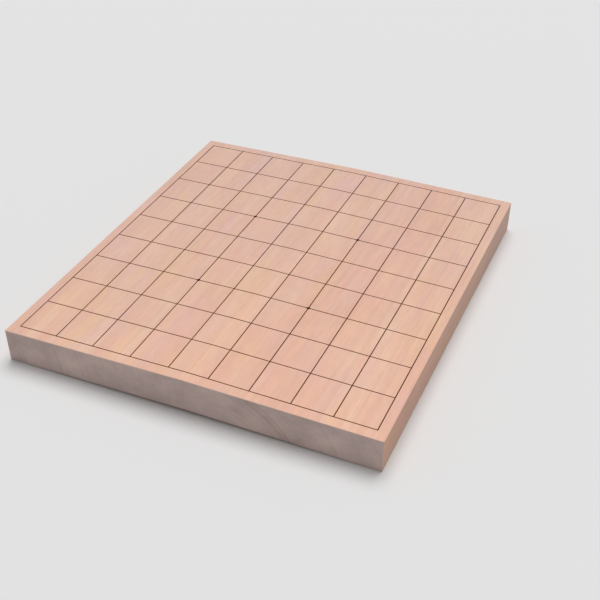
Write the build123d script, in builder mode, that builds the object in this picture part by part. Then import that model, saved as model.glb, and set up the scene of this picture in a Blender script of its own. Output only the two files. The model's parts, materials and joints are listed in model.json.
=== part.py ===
from build123d import *
from math import asin, atan2, cos, hypot, radians, sin, tan
import os

# A folding shogi board: two solid wooden halves, joined by two brass butt hinges that are let into
# their undersides. The board stands open on a table with its playing surface up. The origin is on
# the table under the middle of the seam. X runs across the halves, Y along the seam, and Z is up.
# The hinge barrels stand below the undersides and prop up the middle, so each half slopes down from
# the seam to its outer bottom edge. To fold the board, one half swings down and under the other.
# All sizes are millimetres.

# Playing grid, lacquered on the top faces, with the seam down the middle file
files = 9
ranks = 9
cell_width = 34.5
cell_length = 38.25
side_margin = 8.75
end_margin = 9.875
line_width = 0.92
line_height = 0.12
dot_radius = 1.6
dot_file = 3
dot_rank = 3

# Wooden halves
thickness = 30.0
edge_round = 0.7
seam_break = 0.15
seam_gap = 0.05
axis_gap = 0.1

# Brass butt hinges
hinge_inset = 72.0
leaf_length = 50.0
leaf_width = 20.0
leaf_thickness = 1.2
leaf_corner = 1.5
leaf_sink = 0.05
pocket_fit = 0.1
knuckle_count = 5
knuckle_gap = 0.2
pin_radius = 1.0
rivet_radius = 1.4
rivet_depth = 0.5
running_gap = 0.05
barrel_gap = 0.3

# Countersunk wood screws
screw_length = 12.0
screw_radius = 1.4
screw_tip = 3.0
head_radius = 2.7
head_edge = 0.15
head_sink = 0.1
head_angle = 90.0
slot_width = 0.7
slot_depth = 0.6
screw_fit = 0.05
screw_end_inset = 8.0
screw_near_row = 9.0
screw_far_row = 14.0

# Sizes that follow from those above
half_width = files / 2 * cell_width + side_margin
board_length = ranks * cell_length + 2 * end_margin
grid_length = ranks * cell_length
body_top = axis_gap + thickness
leaf_face = axis_gap + leaf_sink
leaf_back = leaf_face + leaf_thickness
knuckle_radius = pin_radius + running_gap + leaf_thickness
knuckle_pitch = leaf_length / knuckle_count
knuckle_length = knuckle_pitch - knuckle_gap
pin_length = leaf_length - knuckle_gap
cove_radius = knuckle_radius + barrel_gap
cove_length = leaf_length + 2 * barrel_gap
hinge_distance = board_length / 2 - hinge_inset

# The barrels lie on the table, so the hinge axis is one knuckle radius above it.
axis_height = knuckle_radius

# Each half slopes so that its rounded outer bottom edge meets the table too.
edge_run = half_width - edge_round
edge_rise = axis_gap + edge_round
tilt = atan2(edge_rise, edge_run) + asin((knuckle_radius - edge_round) / hypot(edge_run, edge_rise))

sides = {"left": -1, "right": 1}
hinge_centres = {"front_hinge": -hinge_distance, "rear_hinge": hinge_distance}
first_knuckles = {"left": 0, "right": 1}


def seam_at(height):
    """Distance of the seam face from the hinge axis along a half, at a height above its underside plane.

    The seam faces are upright while the board lies open, so they lean by the slope of the half."""
    return (seam_gap - height * sin(tilt)) / cos(tilt)


def section_plane(side):
    """Upright plane across the seam through the hinge axis: x runs out along the half, y up through it."""
    return Plane((0, 0, axis_height), x_dir=(side * cos(tilt), 0, -sin(tilt)), z_dir=(0, -side, 0))


def underside_plane(side):
    """Plane of a half's underside at the hinge axis, facing down: x runs along the seam, y across it."""
    return Plane((0, 0, axis_height), x_dir=(0, 1, 0), z_dir=(-side * sin(tilt), 0, -cos(tilt)))


def top_plane(side):
    """Plane of a half's playing surface, facing up: its origin is on the hinge axis line, x runs outwards."""
    up = Vector(side * sin(tilt), 0, cos(tilt))
    origin = Vector(0, 0, axis_height) + up * body_top
    return Plane(origin, x_dir=(side * cos(tilt), 0, -sin(tilt)), z_dir=up)


def axis_plane(y):
    """Plane square to the hinge axis, centred on it."""
    return Plane((0, y, axis_height), x_dir=(1, 0, 0), z_dir=(0, 1, 0))


def screw_places(side, hinge_y):
    """Three places on the underside plane in a shallow triangle, its far point in the middle."""
    end = leaf_length / 2 - screw_end_inset
    return [
        (hinge_y - end, side * screw_near_row),
        (hinge_y, side * screw_far_row),
        (hinge_y + end, side * screw_near_row),
    ]


def screw_outline(fit, mouth):
    """Half section of a countersunk screw, larger by fit, with its head run up to the height mouth."""
    shoulder = -head_sink - head_edge
    neck = shoulder - (head_radius - screw_radius) / tan(radians(head_angle / 2))
    return [
        (0, mouth),
        (head_radius + fit, mouth),
        (head_radius + fit, shoulder),
        (screw_radius + fit, neck),
        (screw_radius + fit, -screw_length + screw_tip),
        (0, -screw_length - fit),
    ]


# One wood screw, its leaf's face at height 0 and its point down
with BuildPart() as screw:
    with BuildSketch(Plane.XZ):
        with BuildLine():
            Polyline(*screw_outline(0, -head_sink), close=True)
        make_face()
    revolve(axis=Axis.Z)
    with BuildSketch(Plane.XY.offset(-head_sink)):
        Rectangle(2 * head_radius, slot_width)
    extrude(amount=-slot_depth, mode=Mode.SUBTRACT)

# The hole that the same screw fills, in its leaf and in the wood behind it
with BuildPart() as screw_hole:
    with BuildSketch(Plane.XZ):
        with BuildLine():
            Polyline(*screw_outline(screw_fit, leaf_face), close=True)
        make_face()
    revolve(axis=Axis.Z)


def pin_outline(fit):
    """Half section of a hinge pin with riveted ends, larger by fit: x is its radius, y runs along it."""
    end = pin_length / 2
    return [
        (0, -end),
        (rivet_radius + fit, -end),
        (pin_radius + fit, -end + rivet_depth),
        (pin_radius + fit, end - rivet_depth),
        (rivet_radius + fit, end),
        (0, end),
    ]


def build_half(side):
    """One wooden half: a slab with eased edges, cut underneath for its two hinge leaves."""
    with BuildPart() as half:
        with BuildSketch(section_plane(side)):
            with BuildLine():
                outer = seam_at(body_top) + half_width
                Polyline(
                    (seam_at(axis_gap), axis_gap),
                    (outer, axis_gap),
                    (outer, body_top),
                    (seam_at(body_top), body_top),
                    close=True,
                )
            make_face()
        extrude(amount=board_length / 2, both=True)

        seam_edges = half.faces().sort_by(Axis.X)[0 if side > 0 else -1].edges()
        fillet([edge for edge in half.edges() if edge not in seam_edges], edge_round)
        fillet(half.faces().sort_by(Axis.X)[0 if side > 0 else -1].edges(), seam_break)

        for hinge_y in hinge_centres.values():
            with BuildSketch(axis_plane(hinge_y)):
                Circle(cove_radius)
            extrude(amount=cove_length / 2, both=True, mode=Mode.SUBTRACT)

            with BuildSketch(underside_plane(side)):
                with Locations((hinge_y, side * leaf_width / 2)):
                    Rectangle(leaf_length + 2 * pocket_fit, leaf_width + 2 * pocket_fit)
            extrude(amount=-leaf_back, mode=Mode.SUBTRACT)

            with Locations(underside_plane(side).offset(-leaf_face)):
                with Locations(*screw_places(side, hinge_y)):
                    add(screw_hole.part, mode=Mode.SUBTRACT)
    return half.part


def build_lines(side):
    """The lacquered lines and dots of one half, a single thin film on its playing surface."""
    seam = seam_at(body_top)
    outer = seam + files / 2 * cell_width
    inner = seam + 2 * seam_break
    dot_y = grid_length / 2 - dot_rank * cell_length
    with BuildPart() as lines:
        with BuildSketch(top_plane(side)):
            for line in range((files + 1) // 2):
                with Locations((outer - line * cell_width, 0)):
                    Rectangle(line_width, grid_length + line_width)
            for line in range(ranks + 1):
                with Locations(((inner + outer) / 2, grid_length / 2 - line * cell_length)):
                    Rectangle(outer - inner, line_width)
            with Locations((outer - dot_file * cell_width, dot_y), (outer - dot_file * cell_width, -dot_y)):
                Circle(dot_radius)
        extrude(amount=line_height)
    return lines.part


def build_leaf(side, hinge_y, first_knuckle):
    """One hinge leaf: a sunk plate whose every second knuckle is curled round the pin."""
    with BuildPart() as leaf:
        owned = [
            hinge_y + (knuckle + 0.5) * knuckle_pitch - leaf_length / 2
            for knuckle in range(first_knuckle, knuckle_count, 2)
        ]
        with BuildSketch(underside_plane(side).offset(-leaf_face)) as plate:
            with Locations((hinge_y, side * (cove_radius + leaf_width) / 2)):
                Rectangle(leaf_length, leaf_width - cove_radius)
            fillet(plate.vertices().sort_by_distance((hinge_y, 0))[-2:], leaf_corner)
            with Locations(*[(y, side * cove_radius / 2) for y in owned]):
                Rectangle(knuckle_length, cove_radius)
        extrude(amount=-leaf_thickness)

        with BuildSketch(*[axis_plane(y) for y in owned]):
            Circle(knuckle_radius)
        extrude(amount=knuckle_length / 2, both=True)

        with BuildSketch(Plane((0, hinge_y, axis_height))):
            with BuildLine():
                Polyline(*pin_outline(running_gap), close=True)
            make_face()
        revolve(axis=Axis((0, hinge_y, axis_height), (0, 1, 0)), mode=Mode.SUBTRACT)

        with Locations(underside_plane(side).offset(-leaf_face)):
            with Locations(*screw_places(side, hinge_y)):
                add(screw_hole.part, mode=Mode.SUBTRACT)
    return leaf.part


def build_pin(hinge_y):
    """One hinge pin, its ends riveted over into the outer knuckles."""
    with BuildPart() as pin:
        with BuildSketch(Plane((0, hinge_y, axis_height))):
            with BuildLine():
                Polyline(*pin_outline(0), close=True)
            make_face()
        revolve(axis=Axis((0, hinge_y, axis_height), (0, 1, 0)))
    return pin.part


def build_screws(side, hinge_y):
    """The wood screws of one leaf, a group of separate solids."""
    with BuildPart() as screws:
        with Locations(underside_plane(side).offset(-leaf_face)):
            with Locations(*screw_places(side, hinge_y)):
                add(screw.part)
    return screws.part


def write(part, name):
    """Label a piece and write it under the same name."""
    part.label = name
    export_step(part, "parts/" + name + ".step")


os.makedirs("parts", exist_ok=True)

for side_name, side in sides.items():
    write(build_half(side), side_name + "_half")
    write(build_lines(side), "grid_lines_" + side_name)

for hinge_name, hinge_y in hinge_centres.items():
    write(build_pin(hinge_y), hinge_name + "_pin")
    for side_name, side in sides.items():
        leaf = build_leaf(side, hinge_y, first_knuckles[side_name])
        write(leaf, hinge_name + "_" + side_name + "_leaf")
        write(build_screws(side, hinge_y), hinge_name + "_" + side_name + "_screws")
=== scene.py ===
import json
import math

import bpy
import numpy as np
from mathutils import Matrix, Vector

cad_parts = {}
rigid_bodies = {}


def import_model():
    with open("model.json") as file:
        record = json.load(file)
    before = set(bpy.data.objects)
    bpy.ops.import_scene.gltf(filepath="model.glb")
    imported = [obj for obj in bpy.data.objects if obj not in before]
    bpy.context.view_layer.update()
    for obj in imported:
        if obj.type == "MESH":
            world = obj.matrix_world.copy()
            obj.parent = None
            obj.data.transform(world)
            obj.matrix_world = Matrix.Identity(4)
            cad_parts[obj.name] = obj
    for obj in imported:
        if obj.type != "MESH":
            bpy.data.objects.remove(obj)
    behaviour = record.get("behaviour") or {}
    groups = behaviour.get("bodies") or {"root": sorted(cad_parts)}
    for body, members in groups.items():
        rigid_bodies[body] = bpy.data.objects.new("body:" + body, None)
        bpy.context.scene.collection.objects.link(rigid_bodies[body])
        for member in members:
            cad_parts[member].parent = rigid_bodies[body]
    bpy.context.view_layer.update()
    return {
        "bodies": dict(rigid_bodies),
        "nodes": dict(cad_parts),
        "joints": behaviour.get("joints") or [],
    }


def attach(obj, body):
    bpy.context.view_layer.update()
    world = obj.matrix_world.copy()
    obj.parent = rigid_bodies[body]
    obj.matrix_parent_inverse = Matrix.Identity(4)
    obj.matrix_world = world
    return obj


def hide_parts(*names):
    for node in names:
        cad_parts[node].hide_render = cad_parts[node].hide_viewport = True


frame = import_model()
nodes = frame["nodes"]


# The two halves of the board: solid slabs of pale straight-grained softwood, sawn from one panel so
# that the grain runs on across the seam. They are planed, eased at the edges and rubbed with wax,
# and each lies at a small slope, because the hinge barrels underneath prop up the middle.

class Wire:
    """One output in a material. Arithmetic on it adds Math nodes, and node() adds any other node."""

    def __init__(self, tree, socket=None):
        self.tree = tree
        self.socket = socket

    def node(self, kind, settings, values, output=0):
        """Adds a node, first its settings, then its sockets' values or links. Returns one output."""
        made = self.tree.nodes.new("ShaderNode" + kind)
        for name, setting in settings.items():
            setattr(made, name, setting)
        for name, value in values.items():
            if isinstance(value, Wire):
                self.tree.links.new(value.socket, made.inputs[name])
            else:
                made.inputs[name].default_value = value
        return Wire(self.tree, made.outputs[output])

    def math(self, operation, *others):
        return self.node("Math", {"operation": operation}, dict(enumerate((self,) + others)))

    def __add__(self, other):
        return self.math("ADD", other)

    def __mul__(self, other):
        return self.math("MULTIPLY", other)

    def __sub__(self, other):
        return self.math("SUBTRACT", other)

    def __rsub__(self, other):
        return self.node("Math", {"operation": "SUBTRACT"}, {0: other, 1: self})

    __radd__ = __add__
    __rmul__ = __mul__

    def step(self, low, high):
        """A smooth step from 0 at low to 1 at high."""
        ends = {"Value": self, "From Min": low, "From Max": high}
        return self.node("MapRange", {"interpolation_type": "SMOOTHSTEP"}, ends)

    def band(self, low, high, soft):
        """1 between two values, fading over a soft edge just inside each of them."""
        return self.step(low, low + soft) - self.step(high - soft, high)

    def part(self, axis):
        """One number of a vector: 0, 1 or 2."""
        return self.node("SeparateXYZ", {}, {0: self}, axis)

    def stretch(self, across, along, up):
        """A point times three numbers, so that a pattern read from it is finer along each large one."""
        return self.node("VectorMath", {"operation": "MULTIPLY"}, {0: self, 1: (across, along, up)})

    def noise(self, detail=2.0, roughness=0.5):
        """Soft noise between 0 and 1, about 0.5 on average."""
        values = {"Vector": self, "Scale": 1.0, "Detail": detail, "Roughness": roughness}
        return self.node("TexNoise", {}, values)

    def blend(self, first, second):
        """The first colour where this is 0 and the second where it is 1."""
        return self.node("Mix", {"data_type": "RGBA"}, {0: self, 6: first, 7: second}, 2)

    def times(self, other):
        """A colour times another colour."""
        return self.node("VectorMath", {"operation": "MULTIPLY"}, {0: self, 1: other})

    def shade(self, amount):
        """A colour times a number."""
        return self.node("VectorMath", {"operation": "SCALE"}, {0: self, "Scale": amount})


def new_finish(name):
    """A material, its shader and the point being shaded, in the object's own coordinates."""
    material = bpy.data.materials.new(name)
    material.use_nodes = True
    shader = material.node_tree.nodes["Principled BSDF"]
    point = Wire(material.node_tree).node("TexCoord", {}, {}, 3)
    return material, shader, point


def feed(shader, socket, wire):
    """Links a value that varies over the surface to a socket of the shader."""
    shader.id_data.links.new(wire.socket, shader.inputs[socket])


def wear(pieces, material):
    """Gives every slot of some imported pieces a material."""
    for piece in pieces:
        for place in nodes[piece].material_slots:
            place.material = material


axis_height = 0.00225
half_width = 0.164
board_length = 0.364
thickness = 0.030
axis_gap = 0.0001
edge_round = 0.0007
edge_run = half_width - edge_round
edge_rise = axis_gap + edge_round
edge_reach = math.hypot(edge_run, edge_rise)
slope = math.atan2(edge_rise, edge_run) + math.asin((axis_height - edge_round) / edge_reach)
body_top = axis_gap + thickness

left_pith = (-0.235, -0.020)
right_pith = (0.014, -0.046)
ring_width = 0.0030
grain_wander = 0.012
plain_wood = (0.748, 0.451, 0.337, 1.0)
# Painted light and reflection: these tints brighten and warm the front right of the board and cool its
# back and left
left_painted_light = (0.975, 1.005, 1.030, 1.0)
right_painted_light = (1.025, 0.995, 0.970, 1.0)
front_painted_light = (1.055, 1.022, 0.984, 1.0)
back_painted_light = (0.945, 0.978, 1.016, 1.0)
late_wood = (0.590, 0.335, 0.225, 1.0)
pale_wood = (0.800, 0.540, 0.395, 1.0)
rose_wood = (0.730, 0.400, 0.312, 1.0)
honey_wood = (0.790, 0.490, 0.298, 1.0)
lilac_wood = (0.735, 0.458, 0.420, 1.0)
# End grain: partly its own colour, partly a painted cool bounce light that makes it greyer
end_grain_with_painted_bounce = (0.700, 0.535, 0.490, 1.0)
end_rings = (0.480, 0.345, 0.300, 1.0)
# Rubbed wear and a painted highlight on the eased edges
worn_highlight_wood = (0.840, 0.610, 0.490, 1.0)

wood, shader, point = new_finish("board_wood")
facing = Wire(wood.node_tree).node("TexCoord", {}, {}, 1)

# Grain that wanders a little, so the rings aren't true circles. The numbers of each stretch are how
# many times to the metre the pattern changes across the grain, along it and up.
bend = point.stretch(5.0, 1.7, 5.0)
bend = bend.node("TexNoise", {}, {"Vector": bend, "Scale": 1.0, "Detail": 1.0}, 1)
bend = bend.node("VectorMath", {"operation": "SUBTRACT"}, {0: bend, 1: (0.5, 0.5, 0.5)})
bend = bend.shade(grain_wander)
grain = point.node("VectorMath", {"operation": "ADD"}, {0: point, 1: bend})

# Growth rings round a pith that runs along the seam, one in each half: a slow start and a sharp end
in_right = point.part(0).math("GREATER_THAN", 0.0)
side = grain.part(0) - (left_pith[0] + (right_pith[0] - left_pith[0]) * in_right)
rise = grain.part(2) - (left_pith[1] + (right_pith[1] - left_pith[1]) * in_right)
radius = (side * side + rise * rise).math("SQRT")
slips = radius.node("TexNoise", {"noise_dimensions": "1D"}, {"W": radius, "Scale": 130.0, "Detail": 3.0})
years = radius * (1 / ring_width) + 5.0 * slips
season = years.math("FRACT")
late = season.step(0.15, 0.80) - season.step(0.84, 1.0)
strong = years.node("TexWhiteNoise", {"noise_dimensions": "1D"}, {"W": years.math("FLOOR")})
fade = grain.stretch(30.0, 9.0, 30.0).noise(2.0).step(0.35, 0.65)
late = late * (0.15 + 0.45 * strong + 0.4 * fade * strong)

# Slow changes of tone, soft stripes along the grain, fine fibres and the short flecks between them
drift = grain.stretch(75.0, 1.0, 75.0).noise(3.0, 0.6) - 0.5
cloud = grain.stretch(45.0, 14.0, 45.0).noise(2.0) - 0.5
mottle = grain.stretch(210.0, 80.0, 210.0).noise(3.0, 0.6) - 0.5
blush = grain.stretch(-100.0, 13.0, -100.0).noise(3.0, 0.6)
tint = grain.stretch(-36.0, -3.2, 36.0).noise(4.0, 0.65)
streak = grain.stretch(500.0, 14.0, 500.0).noise(3.0, 0.65) - 0.5
thread = grain.stretch(1250.0, 7.0, 1250.0).noise(2.0, 0.6) - 0.5
fibre = grain.stretch(1700.0, 90.0, 1700.0).noise(2.0) - 0.5
fleck = fibre.step(0.10, 0.22)
fine = grain.stretch(4300.0, 38.0, 4300.0).noise(2.0, 0.6) - 0.5
hue = grain.stretch(68.0, -11.0, -68.0).noise(3.0, 0.6)
blotch = grain.stretch(26.0, 1.0, 40.0).noise(4.0, 0.65) - 0.5
speck = point.stretch(1100.0, 1100.0, 1100.0).noise(2.0, 0.7) - 0.5
cut = facing.part(1).math("ABSOLUTE").step(0.55, 0.9)

# Patches of paler, rosier, yellower and greyer wood, and three wide stripes with a tone of their own
across = grain.part(0) + 0.02 * drift
figure = 0.75 + 0.40 * across.step(-0.10, 0.10)
pale = 0.50 * tint.step(0.50, 0.70) + 0.42 * blush.step(0.50, 0.70)
pale = pale + 0.35 * across.band(0.108, 0.142, 0.010) + 0.25 * across.band(-0.022, 0.004, 0.010)
rose = 0.50 * (1.0 - tint.step(0.30, 0.50)) + 0.42 * (1.0 - blush.step(0.30, 0.50))
rose = rose + 0.30 * across.band(0.046, 0.110, 0.012)
ground = pale.math("MINIMUM", 0.9).blend(plain_wood, pale_wood)
ground = rose.math("MINIMUM", 0.9).blend(ground, rose_wood)
ground = (0.42 * hue.step(0.50, 0.66)).blend(ground, honey_wood)
ground = (0.42 * (1.0 - hue.step(0.34, 0.50))).blend(ground, lilac_wood)
ground = (0.30 * figure * late).blend(ground, late_wood)

# Painted light: the panel is brighter and warmer towards its front right corner, and a painted cool
# reflection makes it greyer towards the back and left
rightwards = 0.5 + 0.5 / half_width * point.part(0)
frontwards = 0.5 - 1.0 / board_length * point.part(1)
ground = ground.times(rightwards.blend(left_painted_light, right_painted_light))
long_colour = ground.times(frontwards.blend(back_painted_light, front_painted_light))
tone = 0.14 * drift + 0.08 * streak + 0.13 * thread + 0.12 * fine - 0.05 * fleck
tone = 1.0 + figure * tone + 0.11 * cloud + 0.16 * mottle
# Painted light: the wood is paler right at the seam, fading out 0.4 mm from it, to lift the shade that
# falls into the seam's gap and rounded edges
seam_painted_light = 1.0 - point.part(0).math("ABSOLUTE").step(0.00020, 0.00040)
long_colour = long_colour.shade(tone * (1.0 + 0.20 * seam_painted_light))

# The ends show the rings cut across, clearest in two places, on blotchy end grain whose grey is partly
# its own colour and partly a painted cool bounce light
clear_rings = across.band(0.035, 0.110, 0.025) + 0.8 * across.band(-0.130, -0.085, 0.020)
end_colour = (late * (0.28 + 0.50 * clear_rings)).blend(end_grain_with_painted_bounce, end_rings)
end_colour = end_colour.shade(1.0 + 0.85 * blotch + 0.25 * speck)
colour = cut.blend(long_colour, end_colour)

# The eased edges are paler, partly rubbed wear and partly a painted highlight: there the surface faces
# none of the three directions squarely
square = facing.part(0).math("ABSOLUTE").math("MAXIMUM", facing.part(1).math("ABSOLUTE"))
square = square.math("MAXIMUM", facing.part(2).math("ABSOLUTE"))
rubbed_wear_and_highlight = 0.55 * (1.0 - square.step(0.90, 0.985))
colour = rubbed_wear_and_highlight.blend(colour, worn_highlight_wood)

feed(shader, "Base Color", colour)
feed(shader, "Roughness", 0.47 + 0.10 * streak + 0.15 * cut - 0.04 * late)
relief = 0.30 * late + 0.5 * streak + 0.4 * fibre
relief = relief.node("Bump", {}, {"Strength": 0.35, "Distance": 0.00005, "Height": relief})
feed(shader, "Normal", relief)
wear(["left_half", "right_half"], wood)


# The grid: nine by nine cells ruled in dark lacquer on the playing surface, and four dots. Each stroke
# is a low rounded bead, drawn along a straightedge, and a dot is a drop set on a crossing.

files = 9
ranks = 9
cell_width = 0.0345
cell_length = 0.03825
line_width = 0.00092
line_height = 0.00011
line_sink = 0.00001
dot_radius = 0.0016
dot_height = 0.00022
dot_file = 3
dot_rank = 3
seam_break = 0.00015
seam_gap = 0.00005
stroke_wander = 0.000018
stroke_fullness = 1.02
stroke_unevenness = 0.04
thin_lacquer = (0.230, 0.070, 0.012, 1.0)
one_coat = (0.036, 0.011, 0.003, 1.0)
two_coats = (0.022, 0.006, 0.002, 1.0)

seam = (seam_gap - body_top * math.sin(slope)) / math.cos(slope)
grid_outer = seam + files / 2 * cell_width
grid_length = ranks * cell_length
line_cuts = np.array([-1.0, -0.92, -0.7, -0.35, 0.0, 0.35, 0.7, 0.92, 1.0])
cell_cuts = np.linspace(0.0, 1.0, 9)[1:-1]
hand = np.random.default_rng(12)


def on_half(side, across, along, above):
    """Points on one half of the board: across is the distance from the hinge axis along the slope, along
    runs with the seam, and above is the height over the playing surface."""
    outwards = np.array([side * math.cos(slope), 0.0, -math.sin(slope)])
    upwards = np.array([side * math.sin(slope), 0.0, math.cos(slope)])
    rearwards = np.array([0.0, 1.0, 0.0])
    start = np.array([0.0, 0.0, axis_height]) + upwards * body_top
    across, along, above = (part[..., None] for part in np.broadcast_arrays(across, along, above))
    return start + across * outwards + along * rearwards + above * upwards


def cuts_between(middles, low, high):
    """Where a row of strokes is cut crosswise: nine cuts over each stroke's width, seven in each gap.
    Returns each cut's stroke number or -1, and its place: from -1 to 1 in a stroke, metres in a gap."""
    strokes, places = [], []
    edges = np.concatenate([[low], middles, [high]])
    for number, (near, far) in enumerate(zip(edges[:-1], edges[1:])):
        if number:
            strokes.append(np.full(len(line_cuts), number - 1))
            places.append(line_cuts)
        if far - near > line_width:
            strokes.append(np.full(len(cell_cuts), -1))
            places.append(near + cell_cuts * (far - near))
    return np.concatenate(strokes), np.concatenate(places)


def unsteady(count, places):
    """How far a hand strays along each of some strokes, from -1 to 1: the mean of three slow waves of
    random length and phase, sin(2 * pi * place / length + phase)."""
    lengths = hand.uniform(0.03, 0.14, (count, 3, 1))
    phases = hand.uniform(0.0, 2 * math.pi, (count, 3, 1))
    return np.sin(places / lengths * 2 * math.pi + phases).mean(1)


def bead(place):
    """Height of a stroke across its width, of 1: flat in the middle and rounded down to its edges."""
    return 1.0 - np.clip(np.abs(place), 0.0, 1.0) ** 3


def closed_film(keep, top, bottom, coats):
    """Faces of a closed film over the kept cells of a grid: the top, the bottom turned over, and walls.
    Returns its points, how many coats of lacquer lie at each one, and the faces."""
    rows, columns = keep.shape
    number = np.arange((rows + 1) * (columns + 1)).reshape(rows + 1, columns + 1)
    under = number + number.size
    i, j = np.nonzero(keep)
    lids = np.stack([number[i, j], number[i + 1, j], number[i + 1, j + 1], number[i, j + 1]], 1)
    bases = np.stack([under[i, j], under[i, j + 1], under[i + 1, j + 1], under[i + 1, j]], 1)
    wide = np.pad(keep, 1).astype(int)
    row_rims = wide[1:, 1:-1] - wide[:-1, 1:-1], number[:, :-1], number[:, 1:]
    column_rims = wide[1:-1, 1:] - wide[1:-1, :-1], number[1:], number[:-1]
    walls = []
    for rims, starts, ends in (row_rims, column_rims):
        there = np.nonzero(rims)
        first = np.where(rims[there] < 0, ends[there], starts[there])
        second = np.where(rims[there] < 0, starts[there], ends[there])
        walls.append(np.stack([first, second, second + number.size, first + number.size], 1))
    faces = np.concatenate([lids, bases, *walls])
    points = np.concatenate([top.reshape(-1, 3), bottom.reshape(-1, 3)])
    coats = np.concatenate([coats.ravel(), coats.ravel()])
    used = np.unique(faces)
    order = np.zeros(len(points), int)
    order[used] = np.arange(len(used))
    return points[used], coats[used], order[faces]


def ruled_grid(side):
    """The strokes of one half: files and ranks cross on one grid of cuts, and the film's height is the
    union of the two beads, so 1 - (1 - file) * (1 - rank) times the height of the lacquer. The ranks run
    over the rounded seam edge, where the wood's height is a quarter circle, sqrt(r * r - x * x) - r."""
    files_at = grid_outer - np.arange((files + 1) // 2)[::-1] * cell_width
    ranks_at = (np.arange(ranks + 1) - ranks / 2) * cell_length
    file_of, file_place = cuts_between(files_at, seam + seam_break, grid_outer)
    rank_of, rank_place = cuts_between(ranks_at, ranks_at[0], ranks_at[-1])
    end = seam + seam_break * np.array([0.08, 0.25, 0.5, 0.75, 1.0])
    file_of = np.concatenate([np.full(len(end), -1), file_of])
    file_place = np.concatenate([end, file_place])
    plain_file = np.where(file_of < 0, file_place, files_at[file_of])
    plain_rank = np.where(rank_of < 0, rank_place, ranks_at[rank_of])
    reach = line_width / 2

    def strayed(stroke_of, place, plain, other):
        """Places of the cuts on the whole grid, with each stroke's own wander and change of width."""
        count = stroke_of.max() + 1
        wander = stroke_wander * unsteady(count, other)
        swell = stroke_fullness + stroke_unevenness * unsteady(count, other)
        moved = place[:, None] * reach * swell[stroke_of] + wander[stroke_of]
        return plain[:, None] + np.where(stroke_of[:, None] < 0, 0.0, moved)

    across = strayed(file_of, file_place, plain_file, plain_rank)
    along = strayed(rank_of, rank_place, plain_rank, plain_file).T
    file_bead = np.where(file_of < 0, 0.0, bead(file_place))[:, None]
    rank_bead = np.where(rank_of < 0, 0.0, bead(rank_place))[None, :]
    rank_end = np.ones(len(file_of))
    rank_end[0] = 0.0
    outermost = file_of == file_of.max()
    rank_end[outermost] = np.where(file_place[outermost] > 0, bead(file_place[outermost]), 1.0)
    file_end = np.ones(len(rank_of))
    for last, sign in ((0, -1), (ranks, 1)):
        there = rank_of == last
        file_end[there] = np.where(rank_place[there] * sign > 0, bead(rank_place[there]), 1.0)
    file_bead = file_bead * file_end[None, :]
    rank_bead = rank_bead * rank_end[:, None]
    height = 1.0 - (1.0 - file_bead) * (1.0 - rank_bead)
    in_file = (file_of[1:] >= 0) & (file_of[1:] == file_of[:-1])
    in_rank = (rank_of[1:] >= 0) & (rank_of[1:] == rank_of[:-1])
    keep = in_file[:, None] | in_rank[None, :]
    into_round = np.clip(seam + seam_break - across, 0.0, seam_break)
    wood_height = np.sqrt(seam_break**2 - into_round**2) - seam_break
    top = on_half(side, across, along, wood_height + line_height * height)
    bottom = on_half(side, across, along, wood_height - line_sink)
    return closed_film(keep, top, bottom, file_bead + rank_bead)


def drop(side, across, along):
    """One dot: a round drop, its height falling with the fourth power of the distance from its middle.
    It counts as two coats of lacquer, which thin out with the eighth power."""
    count = 36
    rings = np.concatenate([np.linspace(0.0, 0.9, 7), [0.96, 1.0]])[1:]
    turns = np.arange(count) / count * 2 * math.pi
    out, turn = np.meshgrid(rings, turns, indexing="ij")
    x = across + dot_radius * out * np.cos(turn)
    y = along + dot_radius * out * np.sin(turn)
    lid = on_half(side, x, y, dot_height * (1.0 - out**4)).reshape(-1, 3)
    coats = np.concatenate([2.0 - 2.0 * out.ravel() ** 8, np.zeros(count), np.full(2, 2.0)])
    rim = on_half(side, x[-1], y[-1], -line_sink)
    middle = on_half(side, across, along, np.array([dot_height, -line_sink]))
    points = np.concatenate([lid, rim, middle])
    first = np.arange(count)
    second = (first + 1) % count
    starts = np.arange(len(rings))[:, None] * count
    here, after = starts + first, starts + second
    shell = np.stack([here, here + count, after + count, after], -1).reshape(-1, 4)
    base = len(rings) * count
    peak = np.full(count, base + count)
    cap = np.stack([peak, first, second], 1)
    floor_fan = np.stack([peak + 1, base + second, base + first], 1)
    return points, coats, shell, np.concatenate([cap, floor_fan])


def add_piece(name, body, points, faces, material, side=1):
    """A new piece from its points and faces, turned the right way out, that rides on a body."""
    if side < 0:
        faces = [face[::-1] for face in faces]
    mesh = bpy.data.meshes.new(name)
    mesh.from_pydata(points.tolist(), [], [list(face) for face in faces])
    mesh.shade_smooth()
    mesh.materials.append(material)
    piece = bpy.data.objects.new(name, mesh)
    bpy.context.scene.collection.objects.link(piece)
    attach(piece, body)
    return piece


# The lacquer is clear brown where it is thin, at the strokes' edges and in a few spots, and nearly
# black where two coats lie on each other.
lacquer, shader, point = new_finish("line_lacquer")
film = Wire(lacquer.node_tree).node("Attribute", {"attribute_name": "coats"}, {}, 2)
pool = point.stretch(300.0, 300.0, 300.0).noise(2.0)
thin = point.stretch(1800.0, 1800.0, 1800.0).noise(1.0).step(0.62, 0.75)
colour = (film * film - 0.3 * thin).math("MAXIMUM", 0.0)
colour = colour.blend(thin_lacquer, one_coat)
colour = (film - 1.0).math("MAXIMUM", 0.0).blend(colour, two_coats)
feed(shader, "Base Color", colour.shade(0.8 + 0.4 * pool))
feed(shader, "Roughness", 0.50 + 0.2 * pool + 0.15 * thin)
shader.inputs["Specular IOR Level"].default_value = 0.08
relief = pool.node("Bump", {}, {"Strength": 0.2, "Distance": 0.00003, "Height": pool + 0.4 * thin})
feed(shader, "Normal", relief)

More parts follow.
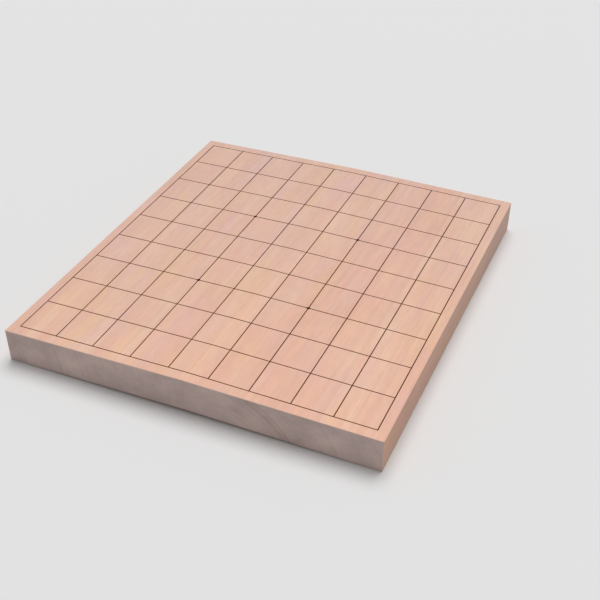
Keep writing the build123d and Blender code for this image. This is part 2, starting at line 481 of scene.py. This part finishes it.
for side, body in ((-1, "left"), (1, "right")):
    points, coats, quads = ruled_grid(side)
    faces = quads.tolist()
    for sign in (-1, 1):
        dot_x = grid_outer - dot_file * cell_width
        dot_y = sign * (grid_length / 2 - dot_rank * cell_length)
        more, more_coats, shell, caps = drop(side, dot_x, dot_y)
        faces += (shell + len(points)).tolist() + (caps + len(points)).tolist()
        points = np.concatenate([points, more])
        coats = np.concatenate([coats, more_coats])
    grid = add_piece("lacquer_grid_" + body, body, points, faces, lacquer, side)
    grid.data.attributes.new("coats", "FLOAT", "POINT").data.foreach_set("value", coats)
    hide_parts("grid_lines_" + body)


# The hinge leaves: rolled brass plates let into the undersides, each with every second knuckle
# curled round the pin. They are lightly brushed along their length and have dulled a little.

bright_leaf = (0.730, 0.530, 0.255, 1.0)
dull_leaf = (0.520, 0.360, 0.170, 1.0)

brass, shader, point = new_finish("hinge_brass")
shader.inputs["Metallic"].default_value = 1.0
brushed = point.stretch(2600.0, 40.0, 2600.0).noise(2.0)
cloud = point.stretch(90.0, 60.0, 90.0).noise(3.0, 0.6)
colour = cloud.step(0.35, 0.75).blend(bright_leaf, dull_leaf)
feed(shader, "Base Color", colour.shade(0.9 + 0.2 * brushed))
feed(shader, "Roughness", 0.24 + 0.16 * cloud + 0.12 * brushed)
relief = brushed.node("Bump", {}, {"Strength": 0.25, "Distance": 0.00002, "Height": brushed})
feed(shader, "Normal", relief)
wear([name for name in nodes if name.endswith("_leaf")], brass)


# The hinge pins: drawn brass wire, pushed through the knuckles. Both ends are riveted over, so that
# they spread into the countersunk mouths of the outer knuckles and hold the pin there.

bright_pin = (0.800, 0.590, 0.270, 1.0)
dull_pin = (0.600, 0.410, 0.180, 1.0)

drawn, shader, point = new_finish("pin_brass")
shader.inputs["Metallic"].default_value = 1.0
cloud = point.stretch(400.0, 400.0, 400.0).noise(3.0, 0.6)
colour = cloud.step(0.4, 0.7).blend(bright_pin, dull_pin)
feed(shader, "Base Color", colour)
feed(shader, "Roughness", 0.22 + 0.2 * cloud)
wear([name for name in nodes if name.endswith("_pin")], drawn)


# The wood screws: turned brass with countersunk slotted heads, three to a leaf, driven home until
# their heads are just below the face of the leaf.

bright_screw = (0.840, 0.640, 0.310, 1.0)
dull_screw = (0.620, 0.430, 0.190, 1.0)

turned, shader, point = new_finish("screw_brass")
shader.inputs["Metallic"].default_value = 1.0
cloud = point.stretch(500.0, 500.0, 500.0).noise(3.0, 0.6)
colour = cloud.step(0.4, 0.7).blend(bright_screw, dull_screw)
feed(shader, "Base Color", colour)
feed(shader, "Roughness", 0.2 + 0.25 * cloud)
wear([name for name in nodes if name.endswith("_screws")], turned)


# The photographer's table: a pale floor, one large soft lamp high behind the board, and even light
# from the room. The camera stands where the photograph was taken from.

floor_size = 40.0
floor_grey = (0.58, 0.58, 0.58, 1.0)
seen_grey = (0.80, 0.80, 0.80, 1.0)
room_light = 0.32
seen_light = 0.90
lamp_light = 2.06
lamp_width = 40
lamp_place = Vector((-0.03, 0.35, 1.0)).normalized() * 1.7
sight = Vector((-0.32260, 0.74243, -0.58713))

corners = np.array([[-1, -1, 0], [1, -1, 0], [1, 1, 0], [-1, 1, 0]]) * floor_size / 2
floor_mesh = bpy.data.meshes.new("floor")
floor_mesh.from_pydata(corners.tolist(), [], [(0, 1, 2, 3)])
floor = bpy.data.objects.new("floor", floor_mesh)
bpy.context.scene.collection.objects.link(floor)

# The floor comes down with the right half as it folds under, so that the folded board lies on it. There
# the floor is parallel to the playing surface that it carries, and as far below it as a dot is high.
fold_stop = math.radians(frame["joints"][0]["range_deg"][1])
floor_tilt = slope + fold_stop - math.pi
floor_drop = axis_height - (body_top + dot_height) / math.cos(floor_tilt)
for channel, folded in (("location", floor_drop), ("rotation", floor_tilt)):
    follow = floor.constraints.new("TRANSFORM")
    follow.target = frame["bodies"]["right"]
    follow.map_from = "ROTATION"
    follow.from_rotation_mode = "YXZ"
    follow.from_max_y_rot = fold_stop
    follow.map_to = channel.upper()
    if channel == "location":
        follow.map_to_z_from = "Y"
        follow.to_max_z = folded
    else:
        follow.map_to_y_from = "Y"
        follow.to_max_y_rot = folded

# Only the camera sees the paler grey and the brighter room. The light on the board isn't changed.
paper, shader, point = new_finish("floor_paper")
seen = Wire(paper.node_tree).node("LightPath", {}, {}, 0)
shader.inputs["Roughness"].default_value = 0.9
feed(shader, "Base Color", seen.blend(floor_grey, seen_grey))
floor_mesh.materials.append(paper)

room = bpy.data.worlds.new("room")
room.use_nodes = True
bpy.context.scene.world = room
sky = room.node_tree.nodes["Background"]
seen = Wire(room.node_tree).node("LightPath", {}, {}, 0)
glossy = Wire(room.node_tree).node("LightPath", {}, {}, 3)
clear = Wire(room.node_tree).node("LightPath", {}, {}, 6)
plain = seen.math("MAXIMUM", glossy).math("MAXIMUM", clear)
strength = room_light + (seen_light - room_light) * plain
room.node_tree.links.new(strength.socket, sky.inputs["Strength"])
sky.inputs["Color"].default_value = (1.0, 1.0, 1.0, 1.0)

lamp_data = bpy.data.lights.new("softbox", "SUN")
lamp_data.angle = math.radians(lamp_width)
lamp_data.energy = lamp_light
lamp = bpy.data.objects.new("softbox", lamp_data)
bpy.context.scene.collection.objects.link(lamp)
lamp.location = lamp_place
lamp.rotation_mode = "QUATERNION"
lamp.rotation_quaternion = lamp_place.to_track_quat("Z", "Y")

camera_data = bpy.data.cameras.new("camera")
camera_data.sensor_width = 36.0
camera_data.lens = 62.828
camera = bpy.data.objects.new("camera", camera_data)
bpy.context.scene.collection.objects.link(camera)
camera.location = (0.32594, -0.70586, 0.55068)
camera.rotation_mode = "QUATERNION"
camera.rotation_quaternion = sight.to_track_quat("-Z", "Y")
bpy.context.scene.camera = camera
bpy.context.scene.view_settings.view_transform = "Standard"
